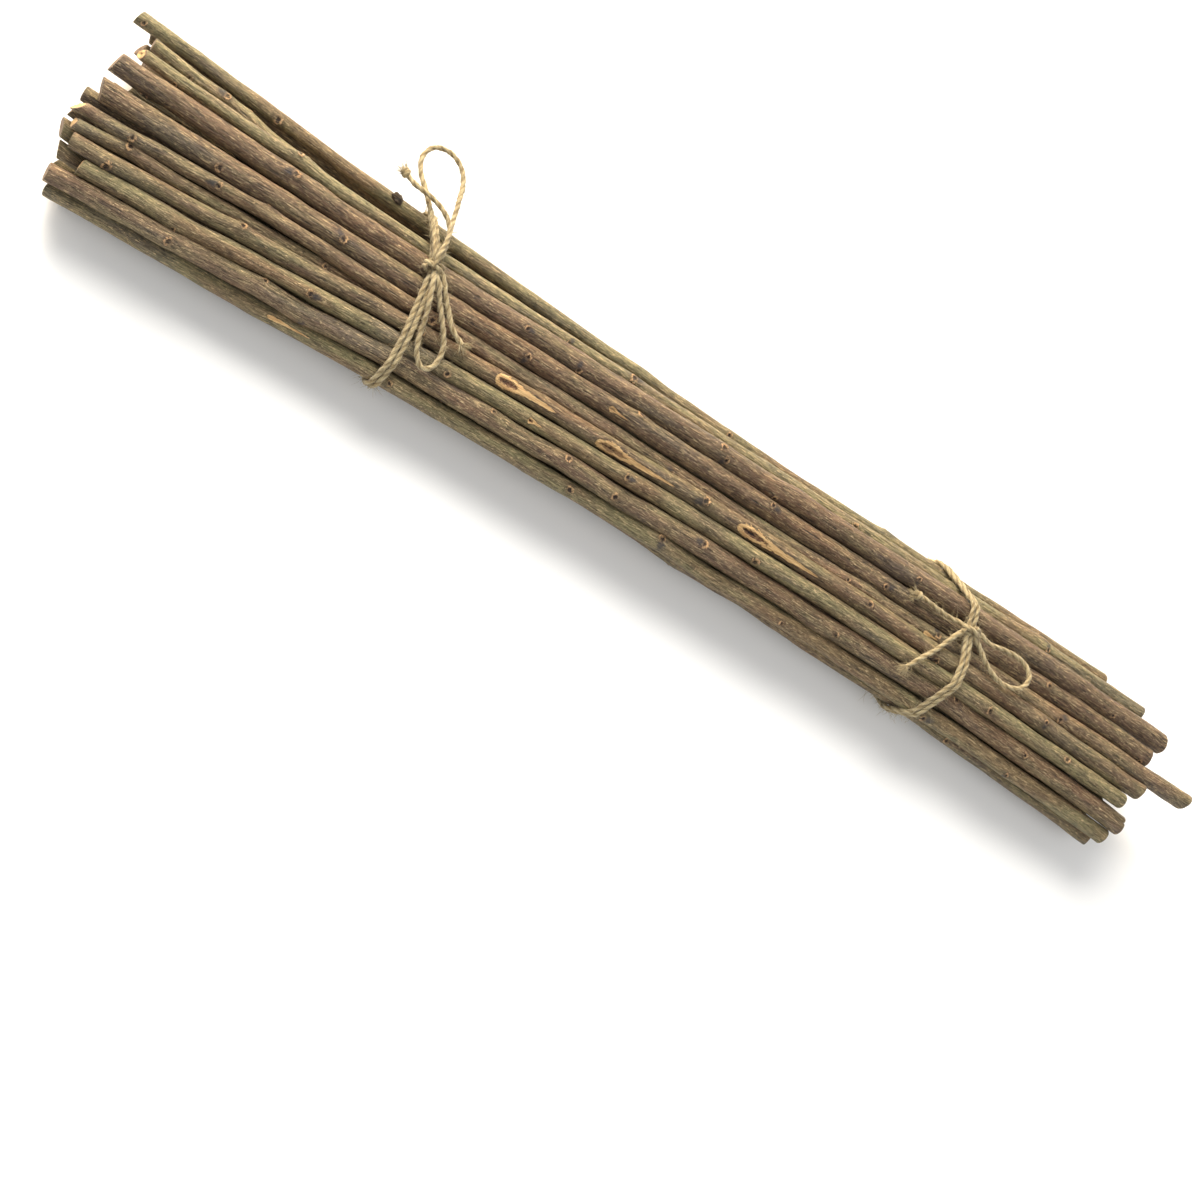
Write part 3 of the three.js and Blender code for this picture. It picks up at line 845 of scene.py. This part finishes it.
def make_floor():
    s = Shader("floor")
    surface = s.node("BsdfPrincipled", {"Base Color": (0.93, 0.93, 0.92, 1.0), "Roughness": 0.9})
    s.node("OutputMaterial", {"Surface": surface.outputs[0]})
    return s.material


TWINE = make_twine()
BARK = make_bark()

for number, (tie_name, tie) in enumerate(TIES.items()):
    add_tie(tie_name, tie, np.random.default_rng(SEED + number))

# ---- Twigs ----

# How twigs 1 to 18, the shown ones, look: how olive, light and ridged they are, from 0 to about 1.
TWIG_LOOKS = (
    (0.75, 0.90, 0.20), (0.65, 1.06, 0.35), (0.75, 1.04, 0.35), (0.20, 0.92, 0.75),
    (0.25, 0.96, 1.00), (0.40, 1.04, 0.45), (0.55, 1.00, 0.45), (0.50, 0.90, 0.35),
    (0.70, 1.06, 0.30), (0.35, 1.04, 0.60), (0.75, 1.02, 0.20), (0.30, 0.98, 0.55),
    (0.50, 0.88, 0.40), (0.65, 0.95, 0.25), (0.70, 0.80, 0.20), (0.40, 0.88, 0.50),
    (0.40, 0.95, 0.60), (0.80, 0.78, 0.30),
)

# Bud scars that show, as (x in millimetres, angle round the twig in degrees).
SHOWN_BUDS = {
    "twig_01": [(-244, 130), (-189, 125), (11, 105)],
    "twig_02": [(-222, 145), (-208, 80), (-120, 100), (60, 110)],
    "twig_03": [(-225, 165), (-177, 50), (-61, 120), (-33, 75), (70, 110), (166, 105)],
    "twig_04": [(-175, 80), (-78, 105), (-54, 145), (8, 80), (11, 130), (35, 160), (100, 110), (202, 135)],
    "twig_05": [(-198, 130), (-150, 110), (-73, 120), (-26, 50), (35, 85), (90, 120), (170, 90), (222, 165)],
    "twig_06": [
        (-227, 120), (-195, 110), (-109, 125), (-5, 135), (30, 150), (75, 100), (118, 90), (180, 115),
    ],
    "twig_07": [(-226, 70), (-150, 100), (-40, 65), (60, 110), (150, 100)],
    "twig_08": [(-229, 150), (-181, 65), (-110, 110), (10, 100), (85, 100), (120, 160), (173, 95)],
    "twig_09": [(-200, 175), (-150, 120), (-95, 130), (-20, 110), (38, 140), (149, 120), (188, 95)],
    "twig_10": [
        (-199, 125), (-165, 60), (-74, 70), (-42, 80), (-20, 125), (18, 95), (80, 130), (136, 70), (172, 105),
    ],
    "twig_11": [(-110, 120), (-35, 120), (4, 80), (60, 130), (129, 150), (171, 145)],
    "twig_13": [(-180, 120), (-90, 130), (145, 135)],
    "twig_18": [(-168, 80), (-105, 110)],
}

# The angles round a shown twig, in degrees, between which it has no other bud scars than those.
SEEN_FROM = 20
SEEN_TO = 200

# Places where a side shoot was torn off: where the head is and how long the strip, in millimetres, the
# angles at the head and at the tip of the strip, the head's half width, and how hollow it is.
WOUNDS = {
    "twig_05": [(-38, 9, (122, 132), 1.2, 0.6)],
    "twig_06": [(112, 7, (118, 122), 1.1, 0.0)],
    "twig_07": [(-56, 3, (100, 102), 1.0, 0.2)],
    "twig_08": [
        (-80, 26, (106, 120), 3.0, 1.0), (-37, 35, (136, 130), 2.6, 0.8), (25, 38, (124, 136), 2.9, 1.0),
    ],
    "twig_09": [(-62, 6, (120, 122), 1.5, 0.9)],
    "twig_11": [(-158, 17, (122, 124), 1.0, 0.0)],
}

# Twig ends, as (twig, 0 for the wide end or 1 for the narrow end): by how many millimetres they are torn, how
# they are slanted towards +Y and +Z, at what angle they are split, and which ones show fresh wood.
TORN_ENDS = {
    ("twig_03", 0): 0.8, ("twig_07", 0): 0.7, ("twig_09", 0): 0.4, ("twig_15", 0): 1.2, ("twig_17", 1): 1.6,
}
SLANTED_ENDS = {("twig_03", 0): (-0.3, 0.7), ("twig_06", 0): (0.2, 0.9), ("twig_15", 0): (0.2, 0.8)}
SPLIT_ENDS = {("twig_10", 1): 80}
FRESH_ENDS = {("twig_03", 0), ("twig_06", 0), ("twig_07", 0), ("twig_09", 0), ("twig_15", 0), ("twig_17", 1)}

TWIG_SIDES = 36
HIDDEN_SIDES = 26
CORE_SIDES = 18
SHOWN_COUNT = len(TWIG_LOOKS)
UNDERSIDE_COUNT = 8
RING_STEP = 2.0 * MM
CORE_STEP = 5.0 * MM
FEATURE_STEP = 0.5 * MM
FEATURE_REACH = 3.2 * MM
FINE_STEP_MM = 0.1
EDGE_PLACES = MM * np.array([0.0, 0.06, 0.16, 0.32, 0.55, 0.85, 1.2])
EDGE_CLEAR = 1.5 * MM

BARK_THINNER = 0.985
BEND_SMOOTHING = 12
KINK_HEIGHT = 0.4 * MM
KINK_LENGTH = 11 * MM
OUT_OF_ROUND = 0.06
SWELLING_HEIGHT = 0.2 * MM
RIDGE_WANDER = 0.12

# The ridges along the bark: their height in millimetres on smooth bark and how much more on ridged bark,
# and how long and how wide they are.
RIDGE_LAYERS = ((0.06, 0.12, 9, 1.3), (0.035, 0.06, 3, 0.8))

EDGE_ROUNDING = (0.3 * MM, 0.7 * MM)
ROUNDING_DEPTH = 0.75
CUT_REACH = 6 * MM
SPLIT_DEPTH = 1.1 * MM
SPLIT_WIDTH = 0.5 * MM
SPLIT_LENGTHS = (14 * MM, 4 * MM)
CAP_SHARES = np.array([0.97, 0.9, 0.8, 0.66, 0.52, 0.38, 0.24, 0.12])
CAP_ROWS = len(CAP_SHARES)
PITH_SHARE = 0.15
PITH_DEPTH = 0.3
GRAIN_SPREAD = 300

# Bud scars that chance places, in millimetres and degrees.
FIRST_BUD = (8, 40)
LAST_BUD_GAP = 6
BUD_SPACING = 48
SPACING_SHARES = (0.6, 1.25)
BUD_TURN = 144
TURN_SPREAD = 18
BUD_RADII = (0.75, 1.45)

# The relief of a bud scar: the swelling under it, its rim and its pit.
BUD_SWELLING = 0.5 * MM
BUD_SWELLING_LENGTH = 4.5 * MM
BUD_SWELLING_WIDTH = 2.4 * MM
BUD_RIM = 0.3 * MM
BUD_PIT = 0.45 * MM

# What a point far from every bud scar or wound has in place of its place in one.
FAR_AWAY = 9.0
NO_BUD = (FAR_AWAY, FAR_AWAY, 0.0)
NO_WOUND = (-FAR_AWAY, -FAR_AWAY, -FAR_AWAY)
CUT_MIDDLE = (1, 0, 0.5)

KNOB_TWIG = "twig_01"
KNOB_X = -139 * MM
KNOB_ANGLE = math.radians(80)
KNOB_HALF_SIZES = (2.8 * MM, 2.0 * MM, 1.9 * MM)
KNOB_RINGS = 26
KNOB_SIDES = 36
KNOB_LOBES = 14
KNOB_SHARPNESS = 9.0
KNOB_BODY = 0.62
KNOB_SWELL = 0.5
KNOB_TIP = 0.7
KNOB_LOOK = (0.1, 0.4, 1.0)
KNOB_GRAIN = 50


def lattice_noise(x, angle, cell_length, cells, rng):
    """Smooth random values from -1 to 1 along a twig, seamless round it."""
    rows = int((x.max() - x.min()) / cell_length) + 3
    lattice = rng.uniform(-1, 1, (rows, cells))
    u = (x - x.min()) / cell_length
    v = (angle / (2 * np.pi) * cells) % cells
    i, j = np.floor(u).astype(int), np.floor(v).astype(int) % cells
    fu, fv = smoothstep(u - i, 0, 1), smoothstep(v - np.floor(v), 0, 1)
    near = lattice[i, j] * (1 - fv) + lattice[i, (j + 1) % cells] * fv
    far = lattice[i + 1, j] * (1 - fv) + lattice[i + 1, (j + 1) % cells] * fv
    return near * (1 - fu) + far * fu


def buds_of(name, start, end, rng):
    """A twig's bud scars: (x, angle, radius, which way it faces, its kind from 0 to 1)."""
    shown = SHOWN_BUDS.get(name, [])
    places = [(x * MM, math.radians(degrees)) for x, degrees in shown]
    x = start / MM + rng.uniform(*FIRST_BUD)
    turn = rng.uniform(0, 360)
    while x < end / MM - LAST_BUD_GAP:
        is_seen = SEEN_FROM < turn % 360 < SEEN_TO
        if not (shown and is_seen):
            places.append((x * MM, math.radians(turn)))
        x += BUD_SPACING * rng.uniform(*SPACING_SHARES)
        turn += BUD_TURN + rng.normal(0, TURN_SPREAD)
    return [
        (x, angle, MM * rng.uniform(*BUD_RADII), rng.uniform(0, 2 * np.pi), rng.random())
        for x, angle in places
    ]


def ring_places(start, end, step, features):
    """Where a twig's rings are: closer together at its ends and where it has a feature."""
    fine = np.arange(start, end, FINE_STEP_MM * MM)
    density = np.full(len(fine), 1 / step)
    for x, reach in [(start, FEATURE_REACH), (end, FEATURE_REACH), *features]:
        off = np.maximum(np.abs(fine - x) - reach + FEATURE_REACH, 0)
        density += (1 / FEATURE_STEP - 1 / step) * np.exp(-((off / FEATURE_REACH) ** 4))
    density = np.minimum(density, 1 / FEATURE_STEP)
    along = np.concatenate([[0], np.cumsum(density[1:] * FINE_STEP_MM * MM)])
    middle = np.interp(np.linspace(0, along[-1], round(along[-1]) + 1), along, fine)[1:-1]
    inside = middle[(middle > start + EDGE_CLEAR) & (middle < end - EDGE_CLEAR)]
    return np.concatenate([start + EDGE_PLACES, inside, end - EDGE_PLACES[::-1]])


def strip_half_width(along):
    """How wide a wound is, as a share of its head's half width, from its head (0) to its tip (1)."""
    head = np.sqrt(np.clip(along / 0.12, 0, 1))
    tail = 0.55 + 0.45 * np.exp(-((np.maximum(along - 0.18, 0) / 0.2) ** 2))
    return np.maximum(head * tail * np.sqrt(np.clip(1 - along, 0, 1)), 0.02)


def carve_buds(buds, x, angle, radius):
    """The relief of the bud scars, and for each point where it is from the nearest one, in scar radii."""
    height = np.zeros(np.broadcast_shapes(x.shape, angle.shape))
    local = np.broadcast_to(NO_BUD, (*height.shape, 3))
    nearest = np.full(height.shape, FAR_AWAY)
    for bud_x, bud_angle, size, turn, kind in buds:
        along = (x - bud_x) / size
        around = radius * wrapped(angle - bud_angle) / size
        u = along * math.cos(turn) + around * math.sin(turn)
        v = around * math.cos(turn) - along * math.sin(turn)
        away = np.hypot(u, v)
        swelling = bump(along * size / BUD_SWELLING_LENGTH, around * size / BUD_SWELLING_WIDTH)
        height += BUD_SWELLING * swelling
        height += BUD_RIM * bump((away - 1.0) / 0.4) * (0.4 + 0.6 * smoothstep(-u, -0.6, 0.6))
        height -= BUD_PIT * bump(away / 0.65)
        closer = away < nearest
        nearest = np.where(closer, away, nearest)
        here = joined(u, v, kind)
        local = np.where(closer[..., None], here, local)
    return height, local


def carve_wounds(wounds, x, angle, radius):
    """The relief of the wounds, and for each point its place in the nearest one."""
    height = np.zeros(np.broadcast_shapes(x.shape, angle.shape))
    local = np.broadcast_to(NO_WOUND, (*height.shape, 3))
    pit_middle, pit_lengthwise, pit_crosswise = PIT_SHAPE
    for head, length, angles, half_width, hollow in wounds:
        along = (x - head * MM) / (length * MM)
        middle = np.radians(np.interp(along, (0, 1), angles))
        beside = radius * wrapped(angle - middle) / (half_width * MM)
        across = beside / strip_half_width(along)
        there = smoothstep(along, -0.02, 0.02) * smoothstep(along, 1.02, 0.98)
        bare = there * (1 - smoothstep(np.abs(across), 0.8, 1.15))
        rim = there * bump((np.abs(across) - 1.25) / 0.25)
        from_pit = np.hypot((along - pit_middle) * pit_lengthwise, across * pit_crosswise)
        pit = 1 - smoothstep(from_pit, 0.5, 1.05)
        height += MM * (0.14 * rim - 0.22 * bare - 0.75 * hollow * pit * there)
        near = (along > -0.1) & (along < 1.1) & (np.abs(beside) < 3)
        place = joined(along, across, hollow)
        local = np.where(near[..., None], place, local)
    return height, local


def bark_relief(x, angle, radius, ridged, rng):
    """Out-of-roundness, slow swellings and the ridges that run along the bark."""
    wander = angle + RIDGE_WANDER * lattice_noise(x, np.zeros_like(angle), 14 * MM, 3, rng)
    around = 2 * np.pi * radius.mean() / MM
    relief = OUT_OF_ROUND * radius * lattice_noise(x, angle, 26 * MM, 3, rng)
    relief = relief + SWELLING_HEIGHT * lattice_noise(x, angle, 10 * MM, 5, rng)
    for smooth, more, length, width in RIDGE_LAYERS:
        height = MM * (smooth + more * ridged)
        relief = relief + height * lattice_noise(x, wander, length * MM, round(around / width), rng)
    return relief


def rounded_edge(radius, distance, rounding):
    """The radius near an end whose edge is rounded."""
    share = np.clip(1 - distance / rounding, 0, 1)
    return radius - rounding * (1 - np.sqrt(1 - share**2)) * ROUNDING_DEPTH


def shaped_ends(name, rings, x, angle, radius, reach):
    """The reach with its ends rounded or split, and how far a slanted end shifts each point along X."""
    shift = np.zeros_like(reach)
    for side, ring in enumerate((rings[0], rings[-1])):
        distance = np.abs(x - ring[0])
        reach = rounded_edge(reach, distance, EDGE_ROUNDING[side])
        slope_y, slope_z = ring[4:6] + np.array(SLANTED_ENDS.get((name, side), (0, 0)))
        shift += bump(distance / CUT_REACH) * reach * (slope_y * np.cos(angle) + slope_z * np.sin(angle))
        if (name, side) in SPLIT_ENDS:
            off = radius * wrapped(angle - math.radians(SPLIT_ENDS[name, side]))
            reach -= SPLIT_DEPTH * smoothstep(distance, *SPLIT_LENGTHS) * bump(off / SPLIT_WIDTH)
    return reach, shift


def cap_rows(side, x, y, z, edge, shift, angle, torn, rng):
    """The rows of points of a cut face, from its edge to its middle."""
    shares = CAP_SHARES[:, None]
    outward = 1 if side else -1
    rough = lattice_noise(x + shares * MM, angle, 0.2 * MM, 9, rng)
    jag = lattice_noise(x + shares * MM, angle, 0.5 * MM, 5, rng)
    reach = MM * (0.06 * rough + torn * (0.35 + 0.65 * jag) - PITH_DEPTH * (shares < PITH_SHARE))
    spoke = edge * shares
    rows_x = x + outward * reach + shift * shares
    return rows_x, y + spoke * np.cos(angle), z + spoke * np.sin(angle)


def twig_number(name):
    return int(name.split("_")[1])


def twig_size(name):
    """How many sides a twig's mesh has, and how far apart its rings are."""
    number = twig_number(name)
    if number <= SHOWN_COUNT:
        return TWIG_SIDES, RING_STEP
    if number <= SHOWN_COUNT + UNDERSIDE_COUNT:
        return HIDDEN_SIDES, RING_STEP
    return CORE_SIDES, CORE_STEP


def centre_line(rings, places, buds):
    """The twig's middle at each place along it: the CAD's line with its corners rounded, a little kinked."""
    fine = np.arange(rings[0, 0], rings[-1, 0] + MM, MM)
    line = np.stack([np.interp(fine, rings[:, 0], rings[:, k]) for k in (1, 2)], axis=1)
    line = blurred(line, BEND_SMOOTHING)
    y, z = (np.interp(places, fine, line[:, k]) for k in (0, 1))
    for bud_x, bud_angle, *_ in buds:
        kink = KINK_HEIGHT * bump((places - bud_x) / KINK_LENGTH)
        y, z = y + kink * math.cos(bud_angle), z + kink * math.sin(bud_angle)
    return y, z


def look_of(name, rng):
    """How olive, light and ridged a twig's bark is; on a hidden twig chance decides."""
    by_chance = (rng.uniform(0.3, 0.8), rng.uniform(0.75, 1.0), rng.uniform(0.2, 0.7))
    number = twig_number(name)
    return TWIG_LOOKS[number - 1] if number <= SHOWN_COUNT else by_chance


def features_of(buds, wounds, step):
    """Where a twig needs closer rings, as (x, reach); a twig with coarse rings shows no bud scars."""
    at_buds = [(bud[0], FEATURE_REACH) for bud in buds] if step == RING_STEP else []
    at_wounds = [((head + length / 2) * MM, length / 2 * MM) for head, length, *_ in wounds]
    return at_buds + [(middle, half + FEATURE_REACH) for middle, half in at_wounds]


def twig_rows(name, x, y, z, reach, shift, angle, rng):
    """All rows of a twig's points: its first cut face, its rings and its last cut face."""
    body = [x + shift, y[:, None] + reach * np.cos(angle), z[:, None] + reach * np.sin(angle)]
    caps = [
        cap_rows(side, x[k], y[k], z[k], reach[k], shift[k], angle, TORN_ENDS.get((name, side), 0.0), rng)
        for side, k in ((0, 0), (1, -1))
    ]
    rows = [np.vstack([first[::-1], middle, last]) for first, middle, last in zip(caps[0], body, caps[1])]
    return np.stack(rows, axis=-1)


def with_cap_rows(values):
    """The values of a twig's rings, with the first and last ones repeated for its cut faces."""
    first, last = np.repeat(values[:1], CAP_ROWS, 0), np.repeat(values[-1:], CAP_ROWS, 0)
    return np.concatenate([first, values, last])


def cut_place(name, count, sides):
    """For each point: if it is on a cut face, how far out from the middle it is, and if the wood is fresh."""
    cap, body = np.ones(CAP_ROWS), np.zeros(count)
    fresh = [float((name, side) in FRESH_ENDS) for side in (0, 1)]
    rows = np.stack([
        np.concatenate([cap, body, cap]),
        np.concatenate([CAP_SHARES[::-1], body + 1, CAP_SHARES]),
        np.concatenate([fresh[0] * cap, body, fresh[1] * cap]),
    ], axis=-1)
    return np.repeat(rows[:, None], sides, axis=1)


def add_twig(name, rng):
    """A twig's bark and cut faces: rings of points along its middle line, with its scars and wounds."""
    rings = RINGS[name]
    sides, step = twig_size(name)
    look = look_of(name, rng)
    buds = buds_of(name, rings[0, 0], rings[-1, 0], rng)
    wounds = WOUNDS.get(name, [])
    places = ring_places(rings[0, 0], rings[-1, 0], step, features_of(buds, wounds, step))
    y, z = centre_line(rings, places, buds)
    angle = round_angles(sides)[None, :]
    x = places[:, None]
    radius = BARK_THINNER * np.interp(places, rings[:, 0], rings[:, 3])[:, None]
    bud_relief, bud_place = carve_buds(buds, x, angle, radius)
    wound_relief, wound_place = carve_wounds(wounds, x, angle, radius)
    reach = radius + bark_relief(x, angle, radius, look[2], rng) + bud_relief + wound_relief
    reach, shift = shaped_ends(name, rings, x, angle, radius, reach)
    points = twig_rows(name, x, y, z, reach, shift, angle, rng)
    straight = (points - with_cap_rows(np.stack([0 * y, y, z], axis=-1))[:, None]) / MM
    grain = with_tips(straight, straight[0].mean(0), straight[-1].mean(0))
    attributes = [
        ("grain", grain + rng.uniform(-GRAIN_SPREAD, GRAIN_SPREAD, 3)),
        ("bud", with_tips(with_cap_rows(bud_place), NO_BUD, NO_BUD)),
        ("wound", with_tips(with_cap_rows(wound_place), NO_WOUND, NO_WOUND)),
        ("cut", with_tips(cut_place(name, len(places), sides), CUT_MIDDLE, CUT_MIDDLE)),
        ("look", np.tile(look, (len(grain), 1))),
    ]
    corners = with_tips(points, points[0].mean(0), points[-1].mean(0))
    twig = add_object(f"{name}_bark", corners, grid_faces(len(points), sides), attributes)
    finish_piece(twig, BARK, "bark", name)


def lumpy_ball():
    """Rows of points round a ball with lobes, about 1 in radius."""
    rng = np.random.default_rng(SEED)
    polar = np.linspace(0, np.pi, KNOB_RINGS + 2)[1:-1, None]
    turn = round_angles(KNOB_SIDES)[None, :]
    sphere = (-np.cos(polar), np.sin(polar) * np.cos(turn), np.sin(polar) * np.sin(turn))
    ball = joined(*sphere)
    lobes = unit(rng.normal(0, 1, (KNOB_LOBES, 3)))
    swell = np.exp(KNOB_SHARPNESS * (ball @ lobes.T - 1)).max(axis=-1)
    return ball * (KNOB_BODY + KNOB_SWELL * swell)[..., None]


def add_knob():
    """A dark, lumpy bud that stands out of the twig at the back."""
    shape = with_tips(lumpy_ball(), (-KNOB_TIP, 0, 0), (KNOB_TIP, 0, 0)) * KNOB_HALF_SIZES
    y, z, radius = twig_at(RINGS[KNOB_TWIG], KNOB_X)
    out = radius + KNOB_HALF_SIZES[2] / 4
    centre = np.array([KNOB_X, y + out * math.cos(KNOB_ANGLE), z + out * math.sin(KNOB_ANGLE)])
    same_all_over = (("bud", NO_BUD), ("wound", NO_WOUND), ("cut", (0, 0, 0)), ("look", KNOB_LOOK))
    attributes = [(label, np.tile(value, (len(shape), 1))) for label, value in same_all_over]
    attributes.append(("grain", shape / MM + KNOB_GRAIN))
    faces = grid_faces(KNOB_RINGS, KNOB_SIDES)
    finish_piece(add_object(f"{KNOB_TWIG}_knob", centre + shape, faces, attributes), BARK, "bark")


for number, name in enumerate(TWIG_NAMES):
    add_twig(name, np.random.default_rng(SEED * 100 + number))
add_knob()

# ---- Floor and light ----

FLOOR_SIZE = 8.0
FLOOR_GAP = 0.1 * MM
SKY_STRENGTH = 0.4

# Each light's name, direction from the bundle, distance and width in metres, power and colour.
LIGHTS = (
    ("key", (-0.53, 0.76, 0.85), 1.4, 1.1, 35, (1.0, 0.97, 0.92)),
    ("rim", (-0.53, 0.82, 0.3), 1.2, 0.4, 23, (1.0, 0.79, 0.52)),
    ("front", (0.3, -0.7, 1.2), 1.6, 1.4, 10, (1.0, 1.0, 1.0)),
)


def add_floor():
    half = FLOOR_SIZE / 2
    z = CAD_BOX[0].z - FLOOR_GAP
    corners = np.array([(-half, -half, z), (half, -half, z), (half, half, z), (-half, half, z)])
    floor = add_object("floor", corners, [(0, 1, 2, 3)])
    floor.data.materials.append(make_floor())


def add_light(name, way, distance, size, power, colour):
    """A square soft light that shines at the bundle from the given direction."""
    data = bpy.data.lights.new(name, "AREA")
    data.size = size
    data.energy = power
    data.color = colour
    light = bpy.data.objects.new(name, data)
    back = Vector(way).normalized()
    light.location = distance * back
    light.rotation_mode = "QUATERNION"
    light.rotation_quaternion = back.to_track_quat("Z", "Y")
    bpy.context.scene.collection.objects.link(light)


def add_sky():
    world = bpy.data.worlds.new("sky")
    bpy.context.scene.world = world
    world.use_nodes = True
    background = world.node_tree.nodes["Background"]
    background.inputs["Color"].default_value = (1.0, 1.0, 1.0, 1.0)
    background.inputs["Strength"].default_value = SKY_STRENGTH


add_floor()
for light in LIGHTS:
    add_light(*light)
add_sky()
bpy.context.scene.view_settings.view_transform = "Standard"
